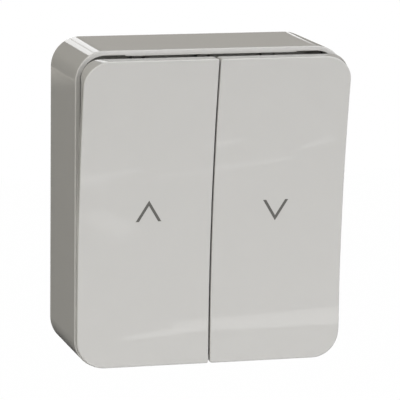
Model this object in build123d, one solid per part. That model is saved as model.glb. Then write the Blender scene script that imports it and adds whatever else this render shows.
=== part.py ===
from build123d import *
import os
from math import cos, radians, sin

# Surface wall switch for a shutter: a one-piece housing with two tall sprung rockers.
# Each piece is modelled on the wall: x to the right, y up, z out of the wall, in millimetres.
# stand_up() then turns it, so that +Z is up and the front looks towards -Y.
# The origin is the centre of the housing's back face.

# Housing
housing_width = 74.0
housing_height = 85.6
corner_radius = 8.0
back_thickness = 2.0
side_thickness = 2.0
rim_width = 1.25
rim_round = 0.3
lip_half_length = 23.5
lip_thickness = 0.25
pry_notch_width = 5.0
pry_notch_depth = 3.0
wiring_room = 4.0

# Slots for the wall screws, one above and one below the mechanism
fixing_spacing = 60.0
fixing_slot_width = 4.5
fixing_slot_length = 9.0

# Cable entries in the bottom wall, and the break-out in the back
entry_side_inset = 17.0
entry_radius = 6.0
grommet_lip_width = 1.2
grommet_lip_thickness = 1.2
grommet_membrane = 0.8
grommet_fit = 0.03
breakout_radius = 6.5
breakout_groove_width = 1.0
breakout_web = 0.8

# Rockers
centre_gap = 0.45
rocker_side_inset = 0.5
rocker_top_inset = 1.6
rocker_bottom_inset = 0.2
face_proud_bottom = 1.5
face_proud_middle = 2.8
face_proud_top = 9.1
rim_clearance = 0.25
top_opening = 4.5
shoulder_height = 30.0
back_corner_cut = 2.5
plate_thickness = 1.4
skirt_thickness = 1.4
rocker_inner_radius = 0.6
face_round = 0.3
rib_thickness = 1.2
rib_recess = 0.6
rib_offset = 12.0

# Pivot and cradles
pivot_depth = 5.5
pin_radius = 1.0
pin_running_fit = 0.04
pin_seat_fit = 0.02
cradle_half_width = 8.0
cradle_half_length = 16.5
cradle_thickness = 2.0
cradle_rise = 1.5
hub_radius = 2.2
nose_width = 4.0
nose_radius = 1.0
clip_position = 11.0
clip_width = 5.0
clip_thickness = 1.4
clip_fit = 0.05
hook_reach = 0.6
hook_height = 0.8

# Rocking range
rocker_swing = 5.6

# Mechanism frame
ear_gap = 0.3
ear_thickness = 1.8
ear_half_width = 2.6
frame_to_pivot = 6.5
frame_thickness = 2.0
frame_above_pivot = 23.0
frame_below_pivot = 12.0
stop_gap = 0.1
stop_size = 2.0
rest_stop_width = 10.0
press_stop_offset = 5.0
press_stop_position = 15.0

# Mechanism base
base_height = 10.0
base_margin = 5.5
base_foot = 25.0
base_floor = 2.0
strip_seat = 5.1
contact_room_width = 16.0
contact_room_length = 12.0
core_width = 16.0
core_length = 22.0
core_depth = 3.4

# Plungers and springs
plunger_arm = 12.0
plunger_radius = 1.5
plunger_fit = 0.05
plunger_gap = 0.1
collar_radius = 2.8
collar_thickness = 1.0
collar_drop = 1.0
spring_radius = 2.3
spring_wire_radius = 0.2
spring_turns = 4
spring_end_gap = 0.05

# Contacts
contact_reach = 5.0
bridge_length = 14.0
bridge_width = 4.0
bridge_thickness = 0.6
spigot_radius = 0.9
spigot_fit = 0.05
rivet_head_radius = 1.6
rivet_head_height = 0.6
tip_radius = 1.3
moving_tip_height = 0.6
fixed_tip_height = 0.4
closed_gap = 0.12
strip_width = 4.0
strip_thickness = 0.8
strip_fit = 0.1
strip_end_margin = 2.5

# Terminals
terminal_position = 20.5
clamp_width = 7.0
clamp_length = 7.0
clamp_height = 6.5
clamp_wall = 1.0
clamp_room = 8.0
terminal_screw_radius = 1.45
terminal_head_radius = 2.6
terminal_head_height = 1.6
terminal_head_lift = 0.7
thread_fit = 0.05

# Screws that hold the mechanism
fixing_screw_radius = 1.45
screw_clearance = 0.25
fixing_head_radius = 2.8
fixing_head_height = 1.6
upper_screw_position = 14.0
lower_screw_position = -9.0
post_radius = 3.5
standoff_radius = 2.5
standoff_inset = 4.0
screw_slot_width = 0.7
screw_slot_depth = 0.7

# Inner cover
cover_over_frame = 0.7
cover_thickness = 1.8
cover_fit = 0.3
collar_depth = 2.5
collar_wall = 1.8
collar_corner = 3.0
window_side_room = 1.2
window_end_room = 1.5
latch_pitch = 18.0
latch_width = 2.6
latch_relief = 1.0
latch_relief_length = 3.0
latch_thickness = 1.2
latch_height = 3.0
latch_nib = 0.6
latch_nib_height = 1.0
latch_pocket_room = 0.3
lip_over_latch = 0.5

# Places worked out from the sizes above
base_bottom = back_thickness + wiring_room
frame_bottom = base_bottom + base_height
frame_top = frame_bottom + frame_thickness
pivot_z = frame_top + frame_to_pivot
housing_depth = pivot_z + pivot_depth
cover_seat = frame_top + cover_over_frame
cover_front = cover_seat + cover_thickness
entry_x = housing_width / 2 - entry_side_inset
entry_z = (back_thickness + cover_seat) / 2
collar_front = housing_depth - collar_depth
cradle_back = pivot_z + cradle_rise
cradle_front = cradle_back + cradle_thickness
strip_back = base_bottom + strip_seat
strip_front = strip_back + strip_thickness
bottom_y = -housing_height / 2
rocker_width = housing_width / 2 - rocker_side_inset - centre_gap / 2
rocker_top = housing_height / 2 - rocker_top_inset
rocker_bottom = bottom_y + rocker_bottom_inset
rocker_corner = corner_radius - rocker_side_inset
beyond_face = housing_depth + 2 * face_proud_top
side_x = (centre_gap + rocker_width) / 2
press_travel = plunger_arm * radians(rocker_swing)
ear_inner = cradle_half_width + ear_gap
ear_outer = ear_inner + ear_thickness
mechanism_half_width = side_x + contact_reach + base_margin
window_width = 2 * (ear_outer + window_side_room)
window_height = 2 * (cradle_half_length + window_end_room)
sides = {"left": -1, "right": 1}


def block(x_range, y_range, z_range):
    """Box between two limits along each axis."""
    size = [high - low for low, high in (x_range, y_range, z_range)]
    middle = [(high + low) / 2 for low, high in (x_range, y_range, z_range)]
    return Pos(*middle) * Box(*size)


def rounded_block(width, height, radius, back, front):
    """Plate with rounded corners, centred on the z axis."""
    return Pos(0, 0, back) * extrude(RectangleRounded(width, height, radius), front - back)


def rod(radius, x, y, back, front):
    """Round bar along z."""
    middle = (back + front) / 2
    return Pos(x, y, middle) * Cylinder(radius, front - back)


def cross_rod(radius, half_length, y, z):
    """Round bar along x, centred on x = 0."""
    return Pos(0, y, z) * Rot(0, 90, 0) * Cylinder(radius, 2 * half_length)


def side_profile(*edges):
    """Face in the side view, from edges drawn with (y, z) points."""
    return Plane.YZ * make_face(Curve() + list(edges))


def turned(points):
    """Solid of revolution about the z axis, from (radius, z) points."""
    return revolve(Plane.XZ * make_face(Polyline(*points, close=True)), Axis.Z)


def at_side(shape, side):
    """Moves a piece from the middle to the left or right rocker."""
    return Pos(side * side_x, 0, 0) * shape


def housing_cavity():
    """Hollow of the housing: a deep part, and a wider one in front of the cover's seat."""
    deep = rounded_block(
        housing_width - 2 * side_thickness,
        housing_height - 2 * side_thickness,
        corner_radius - side_thickness,
        back_thickness,
        cover_seat,
    )
    wide = rounded_block(
        housing_width - 2 * rim_width,
        housing_height - 2 * rim_width,
        corner_radius - rim_width,
        cover_seat,
        housing_depth,
    )
    return deep + wide


def latch_places():
    """Middle of each latch tongue, with the way it points: up at the top, down at the bottom."""
    return [(column * latch_pitch, way) for column in (-1, 0, 1) for way in (-1, 1)]


def latch_pocket(x, way):
    """Catch in the housing's wall for a latch nib."""
    wall_face = housing_height / 2 - rim_width
    half = latch_width / 2 + latch_pocket_room
    depth = latch_nib + latch_pocket_room - cover_fit
    top = cover_front + latch_height
    reach = sorted((way * (wall_face - cover_fit), way * (wall_face + depth)))
    height = (top - latch_nib_height - latch_pocket_room, top + latch_pocket_room)
    return block((x - half, x + half), reach, height)


def make_housing():
    """One-piece housing with posts, fixing slots, cable entries and the catches of the cover."""
    shell = rounded_block(housing_width, housing_height, corner_radius, 0, housing_depth)
    shell = fillet(shell.faces().sort_by(Axis.Z)[-1].edges(), rim_round)
    shell -= housing_cavity()
    for y in (upper_screw_position, lower_screw_position):
        shell += rod(post_radius, 0, y, back_thickness, base_bottom)
        shell -= rod(fixing_screw_radius + thread_fit, 0, y, back_thickness, base_bottom)
    standoff_x = mechanism_half_width - standoff_inset
    for y in (frame_above_pivot - standoff_inset, standoff_inset - base_foot):
        for x in (-standoff_x, standoff_x):
            shell += rod(standoff_radius, x, y, back_thickness, base_bottom)
    slot = extrude(SlotOverall(fixing_slot_length, fixing_slot_width, rotation=90), back_thickness)
    for y in (-fixing_spacing / 2, fixing_spacing / 2):
        shell -= Pos(0, y, 0) * slot
    for side in sides.values():
        entry = Rot(90, 0, 0) * Cylinder(entry_radius, 2 * side_thickness)
        shell -= Pos(side * entry_x, bottom_y + side_thickness / 2, entry_z) * entry
    shell -= breakout_groove()
    for x, way in latch_places():
        shell -= latch_pocket(x, way)
    return shell + stiffening_lip() + mirror(stiffening_lip(), Plane.XZ) - pry_notch()


def stiffening_lip():
    """Thicker stretch of the upper wall between the rim and the latches."""
    wall_face = housing_height / 2 - rim_width
    return block(
        (-lip_half_length, lip_half_length),
        (wall_face - lip_thickness, wall_face),
        (cover_front + latch_height + lip_over_latch, housing_depth),
    )


def pry_notch():
    """Notch in the lower rim, between the rockers, for a blade that levers them off."""
    half = pry_notch_width / 2
    inside = bottom_y + rim_width + lip_thickness
    return block((-half, half), (bottom_y, inside), (housing_depth - pry_notch_depth, housing_depth))


def breakout_groove():
    """Ring that thins the back wall round a disc for a cable from the wall."""
    middle = (housing_height / 2 - side_thickness + frame_above_pivot) / 2
    ring = rod(breakout_radius, 0, 0, 0, back_thickness - breakout_web)
    ring -= rod(breakout_radius - breakout_groove_width, 0, 0, 0, back_thickness - breakout_web)
    return Pos(-entry_x, middle, 0) * ring


def make_grommet(side):
    """Rubber grommet with a closed membrane, snapped into a cable entry."""
    lip = entry_radius + grommet_lip_width
    neck = entry_radius - grommet_fit
    outside = -grommet_lip_thickness
    inside = side_thickness + grommet_lip_thickness
    points = [
        (0, outside),
        (lip, outside),
        (lip, 0),
        (neck, 0),
        (neck, side_thickness),
        (lip, side_thickness),
        (lip - grommet_lip_width, inside),
        (neck - grommet_lip_width, inside),
        (neck - grommet_lip_width, outside + grommet_membrane),
        (0, outside + grommet_membrane),
    ]
    upright = Rot(-90, 0, 0) * turned(points)
    return Pos(side * entry_x, bottom_y, entry_z) * upright


def latch_tongue(x, way):
    """Springy tongue at the cover's edge, with a nib that snaps into the housing."""
    edge = housing_height / 2 - rim_width - cover_fit
    half = latch_width / 2
    top = cover_front + latch_height
    tongue = block((x - half, x + half), (edge - latch_thickness, edge), (cover_seat, top))
    nib = block((x - half, x + half), (edge, edge + latch_nib), (top - latch_nib_height, top))
    return (tongue + nib) if way > 0 else mirror(tongue + nib, Plane.XZ)


def latch_slots(x, way):
    """Relief slots on both sides of a latch tongue."""
    edge = housing_height / 2 - rim_width
    slots = []
    for side in sides.values():
        middle = x + side * (latch_width + latch_relief) / 2
        x_range = (middle - latch_relief / 2, middle + latch_relief / 2)
        y_range = sorted((way * (edge - latch_relief_length), way * edge))
        slots.append(block(x_range, y_range, (cover_seat, cover_front)))
    return slots


def make_cover_frame():
    """Inner cover: a flange on the housing's seat, and a raised collar round the cradles."""
    flange = rounded_block(
        housing_width - 2 * (rim_width + cover_fit),
        housing_height - 2 * (rim_width + cover_fit),
        corner_radius - rim_width - cover_fit,
        cover_seat,
        cover_front,
    )
    inner_width = 2 * side_x + window_width
    collar = rounded_block(
        inner_width + 2 * collar_wall,
        window_height + 2 * collar_wall,
        collar_corner,
        cover_seat,
        collar_front,
    )
    hollow_corner = collar_corner - collar_wall
    collar_back = collar_front - collar_wall
    cover = flange + collar
    cover -= rounded_block(inner_width, window_height, hollow_corner, cover_seat, collar_back)
    window = rounded_block(window_width, window_height, hollow_corner, collar_back, collar_front)
    for side in sides.values():
        cover -= at_side(window, side)
    for x, way in latch_places():
        cover -= latch_slots(x, way)
        cover += latch_tongue(x, way)
    return cover


def make_mechanism_base():
    """Insulating block with rooms for the contacts, the strips and the clamps."""
    half = mechanism_half_width
    base = block((-half, half), (-base_foot, frame_above_pivot), (base_bottom, frame_bottom))
    room_y = (plunger_arm - contact_room_length / 2, plunger_arm + contact_room_length / 2)
    strip_room = strip_width / 2 + strip_fit
    clamp_front = -terminal_position + clamp_length / 2 + strip_fit
    for side in sides.values():
        middle = side * side_x
        room_x = (middle - contact_room_width / 2, middle + contact_room_width / 2)
        base -= block(room_x, room_y, (strip_back, frame_bottom))
        for reach in (-contact_reach, contact_reach):
            x = side * (side_x + reach)
            channel_x = (x - strip_room, x + strip_room)
            base -= block(channel_x, (clamp_front, room_y[0]), (strip_back, frame_bottom))
        core_x = (middle - core_width / 2, middle + core_width / 2)
        core_y = (-core_length / 2, core_length / 2)
        base -= block(core_x, core_y, (base_bottom, base_bottom + core_depth))
    crossbar_x = (-tine_x() - strip_room, tine_x() + strip_room)
    base -= block(crossbar_x, crossbar_y(strip_fit), (strip_back, frame_bottom))
    for x in terminal_places():
        room = (x - clamp_room / 2, x + clamp_room / 2)
        base -= block(room, (-base_foot, clamp_front), (base_bottom + base_floor, frame_bottom))
    for y in (upper_screw_position, lower_screw_position):
        base -= rod(fixing_screw_radius + screw_clearance, 0, y, base_bottom, frame_bottom)
    return base


def tine_x():
    """Where each tine of the common rail runs."""
    return side_x - contact_reach


def crossbar_y(margin=0.0):
    """Lower and upper edge of the common rail's crossbar, widened by a margin."""
    low = -terminal_position + clamp_length / 2 + strip_fit
    return (low, low + strip_width + margin)


def terminal_places():
    """Middle of the common, left and right terminals."""
    outer = side_x + contact_reach
    return (0, -outer, outer)


def make_mechanism_frame():
    """Front plate of the mechanism with the ears of the pivots and the cradles' stops."""
    half = mechanism_half_width
    plate_y = (-frame_below_pivot, frame_above_pivot)
    frame = block((-half, half), plate_y, (frame_bottom, frame_top))
    rest_top = cradle_back - stop_gap
    swing = radians(rocker_swing)
    pressed = cradle_rise * cos(swing) - press_stop_position * sin(swing)
    press_top = pivot_z + pressed - stop_gap
    for side in sides.values():
        for x in (-(ear_inner + ear_outer) / 2, (ear_inner + ear_outer) / 2):
            frame += at_side(bearing_ear(x), side)
        half_rest = rest_stop_width / 2
        rest_y = (-frame_below_pivot, stop_size - frame_below_pivot)
        frame += at_side(block((-half_rest, half_rest), rest_y, (frame_top, rest_top)), side)
        for x in (-press_stop_offset, press_stop_offset):
            stop_x = (x - stop_size / 2, x + stop_size / 2)
            stop_y = (press_stop_position, press_stop_position + stop_size / 2)
            frame += at_side(block(stop_x, stop_y, (frame_top, press_top)), side)
        guide = rod(plunger_radius + plunger_fit, 0, plunger_arm, frame_bottom, frame_top)
        frame -= at_side(guide, side)
    for y in (upper_screw_position, lower_screw_position):
        frame -= rod(fixing_screw_radius + screw_clearance, 0, y, frame_bottom, frame_top)
    return frame


def bearing_ear(x):
    """Ear with a rounded head and a hole for the pivot pin."""
    half = ear_thickness / 2
    stem = block((-half, half), (-ear_half_width, ear_half_width), (frame_top, pivot_z))
    head = cross_rod(ear_half_width, half, 0, pivot_z)
    bore = cross_rod(pin_radius + pin_seat_fit, half, 0, pivot_z)
    return Pos(x, 0, 0) * (stem + head - bore)


def make_pivot_pin():
    """Steel pin through both ears."""
    return cross_rod(pin_radius, ear_outer, 0, pivot_z)


def make_cradle():
    """Rocking carrier: a plate on a hub, with a nose that presses the plunger."""
    half = cradle_half_width
    plate = block(
        (-half, half), (-cradle_half_length, cradle_half_length), (cradle_back, cradle_front)
    )
    hub = cross_rod(hub_radius, half, 0, pivot_z)
    web = block((-half, half), (-hub_radius, hub_radius), (pivot_z, cradle_back))
    nose = cross_rod(nose_radius, nose_width / 2, plunger_arm, pivot_z + nose_radius)
    nose_x = (-nose_width / 2, nose_width / 2)
    nose_y = (plunger_arm - nose_radius, plunger_arm + nose_radius)
    nose += block(nose_x, nose_y, (pivot_z + nose_radius, cradle_back))
    bore = cross_rod(pin_radius + pin_running_fit, half, 0, pivot_z)
    return plate + hub + web + nose - bore


def rocker_face_arc(drop=0.0):
    """Concave face in the side view, lowered by a distance."""
    middle_y = (rocker_top + rocker_bottom) / 2
    return ThreePointArc(
        (rocker_bottom, housing_depth + face_proud_bottom - drop),
        (middle_y, housing_depth + face_proud_middle - drop),
        (rocker_top, housing_depth + face_proud_top - drop),
    )


def rocker_back_points(lift=0.0):
    """Back edge from the top to the bottom: level at the top, sloped down to the pivot, flat."""
    level = housing_depth + top_opening + lift
    flat = housing_depth + rim_clearance + lift
    return [(rocker_top, level), (shoulder_height, level), (0, flat), (rocker_bottom, flat)]


def closed_side_profile(drop, back_points):
    """Side view between the lowered face arc and a line of back points."""
    arc = rocker_face_arc(drop)
    back = Polyline(arc @ 1, *back_points, arc @ 0)
    return side_profile(arc, back)


def rocker_outline(top_corner=rocker_corner, inset=0.0):
    """Front view of the left rocker: large corners at its left, small ones beside the gap."""
    left, right = inset - rocker_width / 2, rocker_width / 2 - inset
    low, high = rocker_bottom + inset, rocker_top - inset
    outline = Pos(0, (low + high) / 2) * Rectangle(right - left, high - low)
    corners = {
        (left, high): top_corner - inset,
        (left, low): rocker_corner - inset,
        (right, high): rocker_inner_radius,
        (right, low): rocker_inner_radius,
    }
    for place, radius in corners.items():
        outline = fillet(outline.vertices().sort_by_distance((*place, 0))[0], radius)
    return outline


def rocker_block():
    """Outside of the left rocker: its top left corner is rounder at the face than at the back."""
    cut_per_depth = back_corner_cut / (face_proud_top - top_opening)
    sections = []
    for back_or_front in (housing_depth, beyond_face):
        proud = back_or_front - housing_depth
        corner = rocker_corner + (proud - face_proud_top) * cut_per_depth
        sections.append(Pos(0, 0, back_or_front) * rocker_outline(corner))
    return loft(sections, ruled=True)


def rocker_clip(y):
    """Cross rib on the cradle, with a hooked leg at each end that grips the cradle's edge."""
    inner = cradle_half_width + clip_fit
    outer = inner + clip_thickness
    face = housing_depth + face_proud_top
    rib_y = (y - rib_thickness / 2, y + rib_thickness / 2)
    leg_y = (y - clip_width / 2, y + clip_width / 2)
    hook_front = cradle_back - clip_fit
    hook_back = hook_front - hook_height
    clip = block((-outer, outer), rib_y, (cradle_front, face))
    for side in sides.values():
        leg_x = sorted((side * inner, side * outer))
        hook_x = sorted((side * (inner - hook_reach), side * outer))
        clip += block(leg_x, leg_y, (hook_back, face))
        clip += block(hook_x, leg_y, (hook_back, hook_front))
    return clip


def make_rocker():
    """Left rocker: a thin concave plate with a skirt, ribs and the clips for the cradle."""
    solid = extrude(closed_side_profile(0, rocker_back_points()), rocker_width / 2, both=True)
    solid &= rocker_block()
    face = solid.faces().sort_by(SortBy.AREA)[-1]
    solid = fillet(face.edges(), face_round)
    under_plate = closed_side_profile(plate_thickness, [(rocker_top, 0), (rocker_bottom, 0)])
    hollow = extrude(under_plate, rocker_width / 2, both=True)
    hollow &= extrude(rocker_outline(inset=skirt_thickness), beyond_face)
    rib_side = closed_side_profile(plate_thickness / 2, rocker_back_points(rib_recess))
    ribs = Part()
    for x in (-rib_offset, rib_offset):
        ribs += Pos(x, 0, 0) * extrude(rib_side, rib_thickness / 2, both=True)
    clips = rocker_clip(-clip_position) + rocker_clip(clip_position)
    below_face = closed_side_profile(plate_thickness / 2, [(rocker_top, 0), (rocker_bottom, 0)])
    clips &= extrude(below_face, rocker_width / 2, both=True)
    rib_area = extrude(rocker_outline(inset=skirt_thickness / 2), beyond_face)
    return solid - hollow + (ribs & rib_area) + clips


def make_plunger():
    """Push pin with a domed top, a collar for the spring and a riveted foot."""
    top = pivot_z - plunger_gap
    collar_front_z = top - collar_drop
    collar_back_z = collar_front_z - collar_thickness
    bridge_front = plunger_bridge_front()
    bridge_back = bridge_front - bridge_thickness
    foot = bridge_back - rivet_head_height
    points = [
        (0, foot),
        (rivet_head_radius, foot),
        (rivet_head_radius, bridge_back),
        (spigot_radius, bridge_back),
        (spigot_radius, bridge_front),
        (plunger_radius, bridge_front),
        (plunger_radius, collar_back_z),
        (collar_radius, collar_back_z),
        (collar_radius, collar_front_z),
        (plunger_radius, collar_front_z),
        (plunger_radius, top),
        (0, top),
    ]
    return Pos(0, plunger_arm, 0) * turned(points)


def plunger_bridge_front():
    """Front of the contact bridge at rest, which closes on the fixed tips when pressed."""
    closed = strip_front + fixed_tip_height + closed_gap
    return closed + press_travel + moving_tip_height + bridge_thickness


def make_return_spring():
    """Coil spring between the mechanism frame and the plunger's collar."""
    collar_back_z = pivot_z - plunger_gap - collar_drop - collar_thickness
    end = spring_wire_radius + spring_end_gap
    height = collar_back_z - frame_top - 2 * end
    path = Helix(height / spring_turns, height, spring_radius)
    wire = sweep(Plane(path @ 0, z_dir=path % 0) * Circle(spring_wire_radius), path)
    return Pos(0, plunger_arm, frame_top + end) * wire


def make_contact_bridge():
    """Moving strip that joins the two fixed tips when the plunger goes in."""
    front = plunger_bridge_front()
    back = front - bridge_thickness
    half = bridge_length / 2
    y_range = (plunger_arm - bridge_width / 2, plunger_arm + bridge_width / 2)
    bridge = block((-half, half), y_range, (back, front))
    bridge = fillet(bridge.edges().filter_by(Axis.Z), bridge_width / 4)
    return bridge - rod(spigot_radius + spigot_fit, 0, plunger_arm, back, front)


def contact_tips(back, height):
    """Pair of round contact rivets, one over each strip."""
    places = (-contact_reach, contact_reach)
    return [rod(tip_radius, x, plunger_arm, back, back + height) for x in places]


def make_moving_tips():
    """Rivets under the contact bridge."""
    bridge_back = plunger_bridge_front() - bridge_thickness
    return Compound(children=contact_tips(bridge_back - moving_tip_height, moving_tip_height))


def make_fixed_tips():
    """Rivets on the strips."""
    return Compound(children=contact_tips(strip_front, fixed_tip_height))


def strip_end():
    """Upper end of each strip, past the fixed tip."""
    return plunger_arm + strip_end_margin


def make_switched_strip(side):
    """Straight strip from the outer fixed tip to the terminal."""
    x = side * (side_x + contact_reach)
    foot = -terminal_position - clamp_length / 2
    x_range = (x - strip_width / 2, x + strip_width / 2)
    return block(x_range, (foot, strip_end()), (strip_back, strip_front))


def make_common_rail():
    """Forked strip from the common terminal to the inner fixed tips."""
    foot = -terminal_position - clamp_length / 2
    half = strip_width / 2
    z_range = (strip_back, strip_front)
    low, high = crossbar_y()
    reach = tine_x() + half
    rail = block((-half, half), (foot, high), z_range)
    rail += block((-reach, reach), (low, high), z_range)
    for side in sides.values():
        x = side * tine_x()
        rail += block((x - half, x + half), (low, strip_end()), z_range)
    return rail


def make_clamp(x):
    """Brass cage round the end of a strip, with a threaded hole for its screw."""
    back = base_bottom + base_floor
    half = clamp_width / 2
    y_range = (-terminal_position - clamp_length / 2, -terminal_position + clamp_length / 2)
    cage = block((x - half, x + half), y_range, (back, back + clamp_height))
    inner = half - clamp_wall
    cage -= block(
        (x - inner, x + inner), y_range, (back + clamp_wall, back + clamp_height - clamp_wall)
    )
    hole_radius = terminal_screw_radius + thread_fit
    front = back + clamp_height
    return cage - rod(hole_radius, x, -terminal_position, front - clamp_wall, front)


def slotted_screw(head_radius, head_height, shank_radius, length):
    """Screw with a slotted head: the head's underside is at z = 0, and the shank points back."""
    screw = rod(head_radius, 0, 0, 0, head_height)
    screw = chamfer(screw.faces().sort_by(Axis.Z)[-1].edges(), screw_slot_width / 2)
    screw += rod(shank_radius, 0, 0, -length, 0)
    half = screw_slot_width / 2
    slot_z = (head_height - screw_slot_depth, head_height)
    return screw - block((-head_radius, head_radius), (-half, half), slot_z)


def make_terminal_screws():
    """Three screws that press the wires against the strips."""
    head_back = base_bottom + base_floor + clamp_height + terminal_head_lift
    length = head_back - strip_front - thread_fit
    screw = slotted_screw(
        terminal_head_radius, terminal_head_height, terminal_screw_radius, length
    )
    places = [Pos(x, -terminal_position, head_back) for x in terminal_places()]
    return Compound(children=[place * screw for place in places])


def make_mechanism_screws():
    """Two screws through the frame and the base into the housing's posts."""
    length = frame_top - back_thickness - stop_gap
    screw = slotted_screw(fixing_head_radius, fixing_head_height, fixing_screw_radius, length)
    heights = (upper_screw_position, lower_screw_position)
    return Compound(children=[Pos(0, y, frame_top) * screw for y in heights])


def stand_up(shape):
    """Turns a piece from the wall's plane to its own frame, with +Z up and the front at -Y."""
    return Location(Plane.XZ) * shape


def all_pieces():
    """Every piece by its name."""
    pieces = {
        "housing": make_housing(),
        "cover_frame": make_cover_frame(),
        "mechanism_base": make_mechanism_base(),
        "mechanism_frame": make_mechanism_frame(),
        "mechanism_screws": make_mechanism_screws(),
        "common_rail": make_common_rail(),
        "common_clamp": make_clamp(0),
        "terminal_screws": make_terminal_screws(),
    }
    rockers = {"left": make_rocker(), "right": mirror(make_rocker(), Plane.YZ)}
    for name, side in sides.items():
        pieces[f"{name}_rocker"] = at_side(rockers[name], side)
        pieces[f"{name}_cradle"] = at_side(make_cradle(), side)
        pieces[f"{name}_pivot_pin"] = at_side(make_pivot_pin(), side)
        pieces[f"{name}_plunger"] = at_side(make_plunger(), side)
        pieces[f"{name}_return_spring"] = at_side(make_return_spring(), side)
        pieces[f"{name}_contact_bridge"] = at_side(make_contact_bridge(), side)
        pieces[f"{name}_moving_tips"] = at_side(make_moving_tips(), side)
        pieces[f"{name}_fixed_tips"] = at_side(make_fixed_tips(), side)
        pieces[f"{name}_strip"] = make_switched_strip(side)
        pieces[f"{name}_clamp"] = make_clamp(side * (side_x + contact_reach))
        pieces[f"{name}_grommet"] = make_grommet(side)
    return pieces


os.makedirs("parts", exist_ok=True)
for node, piece in all_pieces().items():
    export_step(stand_up(piece), f"parts/{node}.step")
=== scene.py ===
"""Dresses the shutter switch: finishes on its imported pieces, arrow marks and the studio."""
import math

import bmesh
import bpy
from bpy.props import FloatProperty, FloatVectorProperty, PointerProperty
from mathutils import Matrix, Vector


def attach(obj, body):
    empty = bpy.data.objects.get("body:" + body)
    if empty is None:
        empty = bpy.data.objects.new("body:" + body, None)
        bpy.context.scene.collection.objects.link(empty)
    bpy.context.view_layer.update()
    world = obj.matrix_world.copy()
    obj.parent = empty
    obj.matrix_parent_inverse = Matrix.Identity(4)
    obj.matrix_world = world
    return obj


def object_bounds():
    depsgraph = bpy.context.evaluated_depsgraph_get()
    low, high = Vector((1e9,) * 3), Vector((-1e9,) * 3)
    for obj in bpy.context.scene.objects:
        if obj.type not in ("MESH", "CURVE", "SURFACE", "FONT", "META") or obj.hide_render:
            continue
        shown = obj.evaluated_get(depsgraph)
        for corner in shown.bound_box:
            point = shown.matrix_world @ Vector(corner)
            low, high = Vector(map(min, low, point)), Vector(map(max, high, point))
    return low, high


bl_info = {
    "name": "Shutter Switch",
    "version": (1, 0, 0),
    "blender": (4, 5, 0),
    "location": "3D View > Sidebar > Switch",
    "description": "Finishes, arrow marks and studio of a surface-mounted shutter switch",
    "category": "Object",
}

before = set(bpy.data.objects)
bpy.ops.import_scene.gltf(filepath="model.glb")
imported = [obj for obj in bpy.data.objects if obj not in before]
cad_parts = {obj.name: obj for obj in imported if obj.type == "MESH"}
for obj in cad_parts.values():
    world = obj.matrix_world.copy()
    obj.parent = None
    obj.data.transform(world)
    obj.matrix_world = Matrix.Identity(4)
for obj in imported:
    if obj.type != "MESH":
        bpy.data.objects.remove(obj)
cad_low, cad_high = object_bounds()

SIDES = {"left": -1, "right": 1}
MM = 0.001

# Roughness of each finish where its noise is lowest and where it is highest
GLOSS_ROUGHNESS = (0.012, 0.02)
MATT_ROUGHNESS = (0.62, 0.42)
RUBBER_ROUGHNESS = (0.7, 0.92)
INK_ROUGHNESS = (0.28, 0.42)

# How much rougher a metal is under its tarnish
TARNISH_ROUGHER = 0.16

# Depth of each finish's relief
GRAIN_DEPTH = 8e-6
RUBBER_SKIN_DEPTH = 1.2e-5
ROLLING_LINE_DEPTH = 2e-6
INK_DEPTH = 3e-6

# Tarnish of the metals
BRASS_TARNISH = (0.30, 0.17, 0.07)
STEEL_TARNISH = (0.30, 0.31, 0.32)
SILVER_TARNISH = (0.42, 0.38, 0.30)

# Lamps: distance from the switch, height of the front ones in degrees, tint of the left one
LAMP_DISTANCE = 1.8
FRONT_LAMP_HEIGHT = 25
WARM_LAMP = (1.0, 0.97, 0.88)

# Light strips: name, start and end as (x, z), width at start and end, radiance
STRIP_TO_CARD = 0.01
BEHIND_STRIPS = (
    ("corner_strip_left", (-0.08, 0.487), (0.096, 0.487), (0.1, 0.1), 1.9),
    ("corner_strip_right", (0.112, 0.44), (0.264, 0.44), (0.14, 0.14), 1.75),
    ("high_strip", (0.04, 0.99), (0.28, 0.64), (0.1, 0.09), 2.3),
    ("edge_strip", (0.577, 0.14), (0.587, 0.277), (0.01, 0.034), 1.6),
)
FRONT_STRIP_PLANE = -1.4
FRONT_STRIPS = (
    ("low_strip", (0.312, -0.3565), (0.5, -0.371), (0.006, 0.014), 2.3),
    ("low_strip_top", (0.35, -0.367), (0.5, -0.38), (0.008, 0.008), 2.1),
    ("floor_strip_1", (0.302, -0.595), (0.35, -0.613), (0.016, 0.006), 1.8),
    ("floor_strip_2", (0.36, -0.598), (0.41, -0.607), (0.004, 0.007), 1.8),
    ("floor_strip_3", (0.41, -0.609), (0.475, -0.623), (0.009, 0.005), 1.8),
    ("floor_strip_4", (0.409, -0.648), (0.445, -0.66), (0.01, 0.005), 2.0),
    ("floor_strip_5", (0.485, -0.64), (0.516, -0.656), (0.005, 0.01), 1.8),
    ("floor_patch", (0.303, -0.545), (0.33, -0.507), (0.022, 0.026), 1.6),
)

# Grey card: (height, brightness) steps on each side, and where the left turns into the right
CARD_SIZE = 4.0
CARD_TINT = (1.0, 0.95, 0.86, 1.0)
CARD_LEFT = (
    (-0.55, 0.03), (-0.46, 0.2), (-0.23, 0.22), (-0.21, 1.0), (-0.17, 1.0), (-0.16, 0.37),
    (0.0, 0.4), (0.3, 0.8),
)
CARD_RIGHT = ((-0.5, 0.03), (-0.35, 0.22), (-0.28, 0.74), (0.19, 0.74), (0.24, 1.0))
CARD_BLEND = (0.12, 0.36)

# Room and floor
ROOM_TINT = (1.0, 0.985, 0.96, 1.0)
FLOOR_SIZE = 12.0
FLOOR_PAINT = (0.9, 0.9, 0.89, 1.0)
FLOOR_GLOW = 0.996


def colour_property(name, description, default):
    """Colour that a user can change, as linear red, green and blue."""
    return FloatVectorProperty(
        name=name, description=description, default=default, subtype="COLOR", size=3,
        min=0.0, max=1.0,
    )


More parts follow.
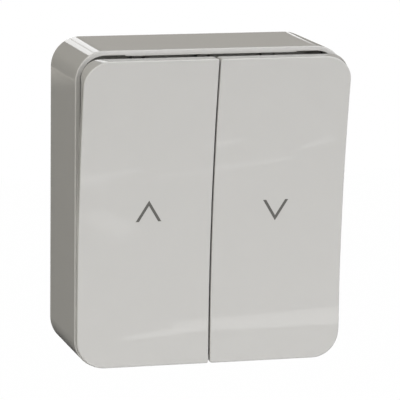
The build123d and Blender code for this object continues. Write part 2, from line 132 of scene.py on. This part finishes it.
def length_property(name, description, default):
    """Length in metres that a user can change."""
    return FloatProperty(
        name=name, description=description, default=default, subtype="DISTANCE", unit="LENGTH"
    )


def angle_property(name, description, degrees):
    """Angle that a user can change, given in degrees."""
    return FloatProperty(
        name=name, description=description, default=math.radians(degrees), subtype="ANGLE",
        unit="ROTATION",
    )


class SwitchFinishes(bpy.types.PropertyGroup):
    """Colours and surface detail of the switch's materials."""

    case_colour: colour_property(
        "Case", "Gloss plastic of the housing and the rockers", (0.601, 0.598, 0.595)
    )
    cover_colour: colour_property(
        "Inner cover", "Matt plastic of the inner cover and the mechanism's frame",
        (0.50, 0.495, 0.475),
    )
    cradle_colour: colour_property(
        "Cradles", "Natural plastic of the cradles", (0.74, 0.73, 0.70)
    )
    base_colour: colour_property(
        "Mechanism base", "Dark plastic of the mechanism's base", (0.028, 0.029, 0.032)
    )
    plunger_colour: colour_property(
        "Plungers", "Plastic of the plungers", (0.52, 0.045, 0.028)
    )
    rubber_colour: colour_property(
        "Grommets", "Soft rubber of the grommets", (0.36, 0.355, 0.34)
    )
    brass_colour: colour_property("Brass", "Stamped brass", (0.72, 0.50, 0.20))
    steel_colour: colour_property("Steel", "Zinc-plated steel", (0.56, 0.57, 0.58))
    silver_colour: colour_property("Silver", "Contact rivets", (0.82, 0.81, 0.77))
    mark_colour: colour_property("Marks", "Ink of the arrow marks", (0.105, 0.101, 0.096))
    peel_depth: length_property(
        "Peel depth", "Height of the fine waviness in the gloss plastic", 1.2e-6
    )


class SwitchMarks(bpy.types.PropertyGroup):
    """Sizes and places of the arrow marks."""

    width: length_property("Width", "Width of a mark across its feet", 7.05 * MM)
    height: length_property("Height", "Height of a mark", 5.8 * MM)
    stroke: length_property("Stroke", "Width of a mark's limbs", 0.76 * MM)
    lift: length_property("Lift", "How far the ink stands out of the face", 0.02 * MM)
    up_height: length_property("Up mark", "Height of the up mark's middle", 0.05 * MM)
    down_height: length_property("Down mark", "Height of the down mark's middle", -0.95 * MM)
    side_offset: length_property(
        "Side offset", "Mark's middle from the switch's middle", 17.5 * MM
    )


class SwitchStage(bpy.types.PropertyGroup):
    """Camera, lamps and floor."""

    azimuth: angle_property("Azimuth", "Camera's turn to the left of the front", 15.25)
    elevation: angle_property("Elevation", "Camera's height above the horizon", 10.56)
    roll: angle_property("Roll", "Camera's turn about its own axis", 0.6875)
    distance: length_property("Distance", "Camera to the plane of the origin", 820.1 * MM)
    aim_right: length_property("Aim right", "Camera's shift to its right", 5.247 * MM)
    aim_up: length_property("Aim up", "Camera's shift upwards", -3.542 * MM)
    lens: FloatProperty(
        name="Lens", description="Focal length in millimetres", default=266.2, unit="CAMERA"
    )
    floor_drop: length_property("Floor", "Drop from the switch to the floor", 1.1)
    ambient: FloatProperty(
        name="Ambient", description="Light of the room", default=0.03, min=0.0
    )
    lamps: FloatProperty(
        name="Lamps", description="Radiance of the large lamps", default=2.18, min=0.0
    )
    card: FloatProperty(
        name="Card", description="Brightness of the grey card behind the switch", default=0.45,
        min=0.0,
    )
    card_distance: length_property("Card distance", "Switch to the grey card behind it", 1.7)


def add_node(tree, kind, **settings):
    """Shader node with its settings."""
    made = tree.nodes.new(kind)
    for name, value in settings.items():
        setattr(made, name, value)
    return made


def start_material(name):
    """Material with one Principled shader, and the place of each point on its own piece."""
    material = bpy.data.materials.new(name)
    material.use_nodes = True
    tree = material.node_tree
    shader = tree.nodes["Principled BSDF"]
    place = add_node(tree, "ShaderNodeTexCoord").outputs["Object"]
    return material, tree, shader, place


def noise(tree, place, size, detail, stretch=(1.0, 1.0, 1.0)):
    """Noise with features of about the given size, drawn out along the axes by stretch."""
    mapping = add_node(tree, "ShaderNodeMapping")
    mapping.inputs["Scale"].default_value = [1.0 / (size * factor) for factor in stretch]
    tree.links.new(place, mapping.inputs["Vector"])
    made = add_node(tree, "ShaderNodeTexNoise")
    made.inputs["Scale"].default_value = 1.0
    made.inputs["Detail"].default_value = detail
    tree.links.new(mapping.outputs["Vector"], made.inputs["Vector"])
    return made.outputs["Fac"]


def spread(tree, factor, low, high, start=0.3, end=0.7):
    """Number that runs from low to high as a factor goes from start to end."""
    made = add_node(tree, "ShaderNodeMapRange")
    ends = {"From Min": start, "From Max": end, "To Min": low, "To Max": high}
    for name, value in ends.items():
        made.inputs[name].default_value = value
    tree.links.new(factor, made.inputs["Value"])
    return made.outputs["Result"]


def shades(tree, factor, colour, darker, lighter):
    """Colour that varies with a noise, between a darker and a lighter shade of one colour."""
    ramp = add_node(tree, "ShaderNodeValToRGB")
    low, high = ramp.color_ramp.elements
    low.position, high.position = 0.3, 0.7
    low.color = [value * darker for value in colour] + [1.0]
    high.color = [min(1.0, value * lighter) for value in colour] + [1.0]
    tree.links.new(factor, ramp.inputs["Fac"])
    return ramp.outputs["Color"]


def mixed(tree, factor, first, second):
    """Colour between two colour sockets."""
    made = add_node(tree, "ShaderNodeMix", data_type="RGBA")
    tree.links.new(factor, made.inputs["Factor"])
    tree.links.new(first, made.inputs["A"])
    tree.links.new(second, made.inputs["B"])
    return made.outputs["Result"]


def relief(tree, height, depth, below=None):
    """Bumped normal with the given depth in metres, on top of another bump."""
    made = add_node(tree, "ShaderNodeBump")
    made.inputs["Strength"].default_value = 1.0
    made.inputs["Distance"].default_value = depth
    tree.links.new(height, made.inputs["Height"])
    if below is not None:
        tree.links.new(below, made.inputs["Normal"])
    return made.outputs["Normal"]


def gloss_plastic(name, colour, peel_depth):
    """Polished mould finish: near-mirror gloss, slow waviness and faint clouds in the tone."""
    material, tree, shader, place = start_material(name)
    clouds = noise(tree, place, 9 * MM, detail=3.0)
    specks = noise(tree, place, 0.25 * MM, detail=1.0)
    soft = shades(tree, clouds, colour, 0.992, 1.008)
    dusty = shades(tree, specks, colour, 0.985, 1.012)
    handled = noise(tree, place, 14 * MM, detail=4.0)
    tree.links.new(mixed(tree, spread(tree, handled, 0.15, 0.5), soft, dusty),
                   shader.inputs["Base Color"])
    tree.links.new(spread(tree, handled, *GLOSS_ROUGHNESS), shader.inputs["Roughness"])
    waves = relief(tree, noise(tree, place, 7 * MM, detail=0.0), peel_depth)
    peel = relief(tree, noise(tree, place, 1.1 * MM, detail=1.0), peel_depth / 12, waves)
    tree.links.new(peel, shader.inputs["Normal"])
    shader.inputs["IOR"].default_value = 1.5
    return material


def matt_plastic(name, colour, grain):
    """Spark-eroded mould finish: a fine even grain, shinier on its high spots."""
    material, tree, shader, place = start_material(name)
    pits = noise(tree, place, grain, detail=3.0)
    clouds = noise(tree, place, 6 * MM, detail=3.0)
    tree.links.new(
        mixed(tree, spread(tree, clouds, 0.2, 0.8), shades(tree, pits, colour, 0.93, 1.04),
              shades(tree, clouds, colour, 0.97, 1.03)),
        shader.inputs["Base Color"],
    )
    tree.links.new(spread(tree, pits, *MATT_ROUGHNESS), shader.inputs["Roughness"])
    tree.links.new(relief(tree, pits, GRAIN_DEPTH), shader.inputs["Normal"])
    return material


def soft_rubber(name, colour):
    """Matt rubber with a dusty bloom and a fine skin."""
    material, tree, shader, place = start_material(name)
    bloom = noise(tree, place, 3 * MM, detail=5.0)
    skin = noise(tree, place, 0.18 * MM, detail=2.0)
    tree.links.new(shades(tree, bloom, colour, 0.9, 1.12), shader.inputs["Base Color"])
    tree.links.new(spread(tree, bloom, *RUBBER_ROUGHNESS), shader.inputs["Roughness"])
    tree.links.new(relief(tree, skin, RUBBER_SKIN_DEPTH), shader.inputs["Normal"])
    shader.inputs["Sheen Weight"].default_value = 0.2
    shader.inputs["Sheen Roughness"].default_value = 0.5
    return material


def stamped_metal(name, colour, tarnish, roughness, grain_axis):
    """Rolled and stamped metal: fine rolling lines along one axis and a tarnish in patches."""
    material, tree, shader, place = start_material(name)
    stretch = [40.0 if axis == grain_axis else 1.0 for axis in "XYZ"]
    lines = noise(tree, place, 0.06 * MM, detail=3.0, stretch=stretch)
    patches = noise(tree, place, 2.5 * MM, detail=5.0)
    bright = shades(tree, lines, colour, 0.93, 1.05)
    dull = shades(tree, patches, tarnish, 0.9, 1.1)
    tree.links.new(mixed(tree, spread(tree, patches, 0.0, 0.55, 0.45, 0.75), bright, dull),
                   shader.inputs["Base Color"])
    worn = spread(tree, patches, roughness, roughness + TARNISH_ROUGHER)
    tree.links.new(worn, shader.inputs["Roughness"])
    tree.links.new(relief(tree, lines, ROLLING_LINE_DEPTH), shader.inputs["Normal"])
    shader.inputs["Metallic"].default_value = 1.0
    return material


def printed_ink(name, colour):
    """Pad-printed ink: a thin semi-gloss film with a slightly uneven cover."""
    material, tree, shader, place = start_material(name)
    cover = noise(tree, place, 0.3 * MM, detail=3.0)
    tree.links.new(shades(tree, cover, colour, 0.92, 1.1), shader.inputs["Base Color"])
    tree.links.new(spread(tree, cover, *INK_ROUGHNESS), shader.inputs["Roughness"])
    tree.links.new(relief(tree, cover, INK_DEPTH), shader.inputs["Normal"])
    return material


def dress(names, material):
    """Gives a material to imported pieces."""
    for name in names:
        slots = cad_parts[name].data.materials
        slots.clear()
        slots.append(material)


def both(name):
    """Names of the left and the right piece of a kind."""
    return [f"{side}_{name}" for side in SIDES]


class SWITCH_OT_case(bpy.types.Operator):
    """Finishes the housing and the two rockers in gloss plastic"""

    bl_idname = "switch.case"
    bl_label = "Finish Case and Rockers"

    def execute(self, context):
        look = context.scene.switch_finishes
        dress(["housing"] + both("rocker"),
              gloss_plastic("case_plastic", look.case_colour, look.peel_depth))
        return {"FINISHED"}


class SWITCH_OT_cover(bpy.types.Operator):
    """Finishes the inner cover and the mechanism's front frame in matt plastic"""

    bl_idname = "switch.cover"
    bl_label = "Finish Inner Cover and Frame"

    def execute(self, context):
        look = context.scene.switch_finishes
        dress(["cover_frame", "mechanism_frame"],
              matt_plastic("cover_plastic", look.cover_colour, 0.16 * MM))
        return {"FINISHED"}


class SWITCH_OT_mechanism(bpy.types.Operator):
    """Finishes the mechanism's plastic pieces: base, cradles and plungers"""

    bl_idname = "switch.mechanism"
    bl_label = "Finish Mechanism Plastics"

    def execute(self, context):
        look = context.scene.switch_finishes
        dress(["mechanism_base"], matt_plastic("base_plastic", look.base_colour, 0.22 * MM))
        dress(both("cradle"), matt_plastic("cradle_plastic", look.cradle_colour, 0.14 * MM))
        dress(both("plunger"), matt_plastic("plunger_plastic", look.plunger_colour, 0.12 * MM))
        return {"FINISHED"}


class SWITCH_OT_metal(bpy.types.Operator):
    """Finishes the rails, clamps, contacts, pins, springs and screws in metal"""

    bl_idname = "switch.metal"
    bl_label = "Finish Metal Pieces"

    def execute(self, context):
        look = context.scene.switch_finishes
        brass = stamped_metal("brass", look.brass_colour, BRASS_TARNISH, 0.24, "Z")
        cross_brass = stamped_metal("bridge_brass", look.brass_colour, BRASS_TARNISH, 0.22, "X")
        steel = stamped_metal("zinc_steel", look.steel_colour, STEEL_TARNISH, 0.28, "Y")
        pin_steel = stamped_metal("pin_steel", look.steel_colour, STEEL_TARNISH, 0.18, "X")
        silver = stamped_metal("silver", look.silver_colour, SILVER_TARNISH, 0.2, "Y")
        dress(["common_rail", "common_clamp"] + both("strip") + both("clamp"), brass)
        dress(both("contact_bridge"), cross_brass)
        dress(["terminal_screws", "mechanism_screws"] + both("return_spring"), steel)
        dress(both("pivot_pin"), pin_steel)
        dress(both("moving_tips") + both("fixed_tips"), silver)
        return {"FINISHED"}


class SWITCH_OT_grommets(bpy.types.Operator):
    """Finishes the two cable grommets in soft rubber"""

    bl_idname = "switch.grommets"
    bl_label = "Finish Grommets"

    def execute(self, context):
        look = context.scene.switch_finishes
        dress(both("grommet"), soft_rubber("grommet_rubber", look.rubber_colour))
        return {"FINISHED"}


def face_point(rocker, x, z):
    """Point of a rocker's face straight behind a place in the front view."""
    in_front = Vector((x, cad_low.y - 10 * MM, z))
    hit, point, _, _ = rocker.ray_cast(in_front, Vector((0.0, 1.0, 0.0)))
    if not hit:
        raise RuntimeError(f"the mark at {x:.4f}, {z:.4f} misses {rocker.name}")
    return point


def mark_rows(marks, way, steps=14):
    """Outer and inner edge points of a mark's limbs, in the front view, from foot to foot."""
    slant = math.atan2(marks.width / 2, marks.height)
    across = marks.stroke / math.cos(slant)
    drop = marks.stroke / math.sin(slant)
    foot, tip = -way * marks.height / 2, way * marks.height / 2
    inner_tip = tip - way * drop
    rows = []
    for step in range(-steps, steps + 1):
        reach = abs(step) / steps
        side = math.copysign(1, step)
        outer = (side * reach * marks.width / 2, tip + (foot - tip) * reach)
        inner_x = side * reach * (marks.width / 2 - across)
        rows.append((outer, (inner_x, inner_tip + (foot - inner_tip) * reach)))
    return rows


def make_mark(name, rocker, centre, marks, way, ink):
    """Arrow mark of two limbs on the rocker's curved face, with a softly rounded edge."""
    mesh = bmesh.new()
    rows = []
    for edges in mark_rows(marks, way):
        row = []
        for x, z in edges:
            point = face_point(rocker, centre[0] + x, centre[1] + z)
            row.append(mesh.verts.new(point + Vector((0.0, -marks.lift, 0.0))))
        rows.append(row)
    for (outer, inner), (next_outer, next_inner) in zip(rows, rows[1:]):
        mesh.faces.new((outer, next_outer, next_inner, inner))
    bmesh.ops.recalc_face_normals(mesh, faces=mesh.faces)
    if sum(face.normal.y for face in mesh.faces) > 0:
        bmesh.ops.reverse_faces(mesh, faces=mesh.faces)
    bmesh.ops.solidify(mesh, geom=mesh.faces[:], thickness=2 * marks.lift)
    data = bpy.data.meshes.new(name)
    mesh.to_mesh(data)
    mesh.free()
    piece = bpy.data.objects.new(name, data)
    bpy.context.scene.collection.objects.link(piece)
    data.materials.append(ink)
    edge = piece.modifiers.new("ink_edge", "BEVEL")
    edge.width = marks.lift / 2
    edge.segments = 2
    return piece


class SWITCH_OT_marks(bpy.types.Operator):
    """Prints the up mark on the left rocker and the down mark on the right one"""

    bl_idname = "switch.marks"
    bl_label = "Print Arrow Marks"

    def execute(self, context):
        marks = context.scene.switch_marks
        ink = printed_ink("mark_ink", context.scene.switch_finishes.mark_colour)
        heights = {"left": marks.up_height, "right": marks.down_height}
        for side, sign in SIDES.items():
            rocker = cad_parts[f"{side}_rocker"]
            centre = (sign * marks.side_offset, heights[side])
            piece = make_mark(f"{side}_mark", rocker, centre, marks, -sign, ink)
            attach(piece, f"{side}_rocker")
        return {"FINISHED"}


def direction(azimuth, elevation):
    """Unit vector towards a place round the switch: azimuth 0 is the front, 90 the right."""
    turn, rise = math.radians(azimuth), math.radians(elevation)
    flat = math.cos(rise)
    return Vector((math.sin(turn) * flat, -math.cos(turn) * flat, math.sin(rise)))


def softbox(name, azimuth, elevation, size, radiance, tint=(1.0, 1.0, 1.0)):
    """Rectangular lamp that faces the switch and is hidden from the camera."""
    lamp = bpy.data.lights.new(name, "AREA")
    lamp.shape = "RECTANGLE"
    lamp.size, lamp.size_y = size
    lamp.energy = radiance * math.pi * size[0] * size[1]
    lamp.color = tint
    box = bpy.data.objects.new(name, lamp)
    towards = direction(azimuth, elevation)
    aim = (-towards).to_track_quat("-Z", "Y")
    box.matrix_world = Matrix.Translation(towards * LAMP_DISTANCE) @ aim.to_matrix().to_4x4()
    box.visible_camera = False
    bpy.context.scene.collection.objects.link(box)
    return box


def only_in_gloss(piece):
    """Lets a piece of the studio show only in the switch's gloss."""
    piece.visible_camera = piece.visible_diffuse = piece.visible_shadow = False
    piece.visible_transmission = False


def glowing(name):
    """Material that only glows, with the shader that glows."""
    material = bpy.data.materials.new(name)
    material.use_nodes = True
    tree = material.node_tree
    tree.nodes.remove(tree.nodes["Principled BSDF"])
    glow = add_node(tree, "ShaderNodeEmission")
    tree.links.new(glow.outputs["Emission"], tree.nodes["Material Output"].inputs["Surface"])
    return material, glow


def light_strip(depth, name, start, end, widths, radiance):
    """Straight glowing strip on an upright plane, with a width at each end."""
    first, last = [Vector((x, depth, z)) for x, z in (start, end)]
    across = (last - first).cross(Vector((0.0, 1.0, 0.0))).normalized()
    corners = [first - across * widths[0] / 2, first + across * widths[0] / 2,
               last + across * widths[1] / 2, last - across * widths[1] / 2]
    data = bpy.data.meshes.new(name)
    data.from_pydata(corners, [], [(0, 1, 2, 3)])
    material, glow = glowing(f"{name}_glow")
    glow.inputs["Strength"].default_value = radiance
    data.materials.append(material)
    strip = bpy.data.objects.new(name, data)
    bpy.context.scene.collection.objects.link(strip)
    only_in_gloss(strip)


def add_lamps(stage):
    """Large lamps in front, to the left and to the right, and a plain one for the back."""
    softbox("left_lamp", -52, FRONT_LAMP_HEIGHT, (1.8, 1.8), 0.97 * stage.lamps, WARM_LAMP)
    softbox("right_lamp", 36, FRONT_LAMP_HEIGHT, (2.2, 1.7), 1.18 * stage.lamps)
    behind = softbox("back_lamp", 180, 0, (1.2, 1.2), 0.8 * stage.lamps)
    behind.visible_glossy = False


def add_strips(stage):
    """Light strips behind and in front of the switch, which show as streaks in its gloss."""
    for strip in BEHIND_STRIPS:
        light_strip(stage.card_distance - STRIP_TO_CARD, *strip)
    for strip in FRONT_STRIPS:
        light_strip(FRONT_STRIP_PLANE, *strip)


def add_plane(name, size, material, location, rotation=(0.0, 0.0, 0.0)):
    """Square plane of one material."""
    bpy.ops.mesh.primitive_plane_add(size=size, location=location, rotation=rotation)
    plane = bpy.context.object
    plane.name = name
    plane.data.materials.append(material)
    return plane


def profile(tree, height, steps):
    """Brightness that runs straight from step to step of (height, brightness)."""
    low, high = steps[0][0], steps[-1][0]
    ramp = add_node(tree, "ShaderNodeValToRGB")
    elements = ramp.color_ramp.elements
    for middle, _ in steps[1:-1]:
        elements.new((middle - low) / (high - low))
    for element, (_, level) in zip(elements, steps):
        element.color = (level, level, level, 1.0)
    tree.links.new(spread(tree, height, 0.0, 1.0, low, high), ramp.inputs["Fac"])
    return ramp.outputs["Color"]


def add_card(stage):
    """Grey card behind the switch, darker below and with a light band low on its left."""
    material, glow = glowing("grey_card")
    tree = material.node_tree
    coordinates = add_node(tree, "ShaderNodeTexCoord")
    place = add_node(tree, "ShaderNodeSeparateXYZ")
    tree.links.new(coordinates.outputs["Object"], place.inputs["Vector"])
    left = profile(tree, place.outputs["Y"], CARD_LEFT)
    right = profile(tree, place.outputs["Y"], CARD_RIGHT)
    side = spread(tree, place.outputs["X"], 0.0, 1.0, *CARD_BLEND)
    tint = add_node(tree, "ShaderNodeMix", data_type="RGBA", blend_type="MULTIPLY")
    tint.inputs["Factor"].default_value = 1.0
    tint.inputs["B"].default_value = CARD_TINT
    tree.links.new(mixed(tree, side, left, right), tint.inputs["A"])
    tree.links.new(tint.outputs["Result"], glow.inputs["Color"])
    glow.inputs["Strength"].default_value = stage.card
    upright = (math.pi / 2, 0.0, 0.0)
    only_in_gloss(
        add_plane("card", CARD_SIZE, material, (0.0, stage.card_distance, 0.0), upright)
    )


def background_rays(tree):
    """1 for the rays that see the white background: camera, glossy and transmission rays."""
    path = add_node(tree, "ShaderNodeLightPath")
    total = path.outputs["Is Camera Ray"]
    for ray in ("Is Glossy Ray", "Is Transmission Ray"):
        larger = add_node(tree, "ShaderNodeMath", operation="MAXIMUM")
        tree.links.new(total, larger.inputs[0])
        tree.links.new(path.outputs[ray], larger.inputs[1])
        total = larger.outputs["Value"]
    return total


def add_room(stage):
    """White background, and soft light from all round that is a little stronger above."""
    world = bpy.data.worlds.new("room")
    bpy.context.scene.world = world
    world.use_nodes = True
    tree = world.node_tree
    soft = tree.nodes["Background"]
    soft.inputs["Color"].default_value = ROOM_TINT
    coordinates = add_node(tree, "ShaderNodeTexCoord")
    height = add_node(tree, "ShaderNodeSeparateXYZ")
    tree.links.new(coordinates.outputs["Generated"], height.inputs["Vector"])
    below, above = 0.6 * stage.ambient, 1.4 * stage.ambient
    strength = spread(tree, height.outputs["Z"], below, above, -1.0, 1.0)
    tree.links.new(strength, soft.inputs["Strength"])
    white = add_node(tree, "ShaderNodeBackground")
    white.inputs["Strength"].default_value = 1.0
    white.inputs["Color"].default_value = (1.0, 1.0, 1.0, 1.0)
    choice = add_node(tree, "ShaderNodeMixShader")
    tree.links.new(background_rays(tree), choice.inputs["Fac"])
    tree.links.new(soft.outputs["Background"], choice.inputs[1])
    tree.links.new(white.outputs["Background"], choice.inputs[2])
    tree.links.new(choice.outputs["Shader"], tree.nodes["World Output"].inputs["Surface"])


def add_floor(stage):
    """Plain pale floor, a wall switch's height below the switch, as white as the background."""
    pale = bpy.data.materials.new("floor_paint")
    pale.use_nodes = True
    tree = pale.node_tree
    paint = tree.nodes["Principled BSDF"]
    paint.inputs["Base Color"].default_value = FLOOR_PAINT
    paint.inputs["Roughness"].default_value = 0.9
    glow = add_node(tree, "ShaderNodeEmission")
    choice = add_node(tree, "ShaderNodeMixShader")
    share = spread(tree, background_rays(tree), 0.0, FLOOR_GLOW, 0.0, 1.0)
    tree.links.new(share, choice.inputs["Fac"])
    tree.links.new(paint.outputs["BSDF"], choice.inputs[1])
    tree.links.new(glow.outputs["Emission"], choice.inputs[2])
    tree.links.new(choice.outputs["Shader"], tree.nodes["Material Output"].inputs["Surface"])
    floor = add_plane("floor", FLOOR_SIZE, pale, (0.0, 0.0, -stage.floor_drop))


def add_camera(stage):
    """Camera to the left of the front and a little above, turned slightly about its axis."""
    towards = direction(-math.degrees(stage.azimuth), math.degrees(stage.elevation))
    right = Vector((math.cos(stage.azimuth), -math.sin(stage.azimuth), 0.0))
    up = towards.cross(right)
    cos_roll, sin_roll = math.cos(stage.roll), math.sin(stage.roll)
    rolled_right = cos_roll * right + sin_roll * up
    rolled_up = cos_roll * up - sin_roll * right
    data = bpy.data.cameras.new("camera")
    data.lens = stage.lens
    camera = bpy.data.objects.new("camera", data)
    place = (stage.aim_right * rolled_right + stage.aim_up * rolled_up
             + stage.distance * towards)
    axes = Matrix((rolled_right, rolled_up, towards)).transposed()
    camera.matrix_world = Matrix.Translation(place) @ axes.to_4x4()
    bpy.context.scene.collection.objects.link(camera)
    bpy.context.scene.camera = camera


class SWITCH_OT_stage(bpy.types.Operator):
    """Sets up the camera, the lamps, the floor and the white background"""

    bl_idname = "switch.stage"
    bl_label = "Set Up Studio"

    def execute(self, context):
        stage = context.scene.switch_stage
        context.scene.view_settings.view_transform = "Standard"
        add_camera(stage)
        add_lamps(stage)
        add_strips(stage)
        add_card(stage)
        add_room(stage)
        add_floor(stage)
        return {"FINISHED"}


STEP_OPERATORS = (
    SWITCH_OT_case,
    SWITCH_OT_cover,
    SWITCH_OT_mechanism,
    SWITCH_OT_metal,
    SWITCH_OT_grommets,
    SWITCH_OT_marks,
    SWITCH_OT_stage,
)


class SWITCH_PT_panel(bpy.types.Panel):
    """Lists the steps that dress the switch"""

    bl_label = "Shutter Switch"
    bl_idname = "SWITCH_PT_panel"
    bl_space_type = "VIEW_3D"
    bl_region_type = "UI"
    bl_category = "Switch"

    def draw(self, context):
        for operator in STEP_OPERATORS:
            self.layout.operator(operator.bl_idname)
        for group in (context.scene.switch_finishes, context.scene.switch_marks,
                      context.scene.switch_stage):
            box = self.layout.box()
            for name in group.__annotations__:
                box.prop(group, name)


SETTINGS = {
    "switch_finishes": SwitchFinishes,
    "switch_marks": SwitchMarks,
    "switch_stage": SwitchStage,
}


def register():
    """Registers the settings, the operators and the panel."""
    for name, group in SETTINGS.items():
        bpy.utils.register_class(group)
        setattr(bpy.types.Scene, name, PointerProperty(type=group))
    for operator in STEP_OPERATORS:
        bpy.utils.register_class(operator)
    bpy.utils.register_class(SWITCH_PT_panel)


def unregister():
    """Removes what register added."""
    bpy.utils.unregister_class(SWITCH_PT_panel)
    for operator in reversed(STEP_OPERATORS):
        bpy.utils.unregister_class(operator)
    for name, group in SETTINGS.items():
        delattr(bpy.types.Scene, name)
        bpy.utils.unregister_class(group)


def main():
    """Runs every step in order."""
    register()
    bpy.ops.switch.case()
    bpy.ops.switch.cover()
    bpy.ops.switch.mechanism()
    bpy.ops.switch.metal()
    bpy.ops.switch.grommets()
    bpy.ops.switch.marks()
    bpy.ops.switch.stage()


if __name__ == "__main__":
    main()
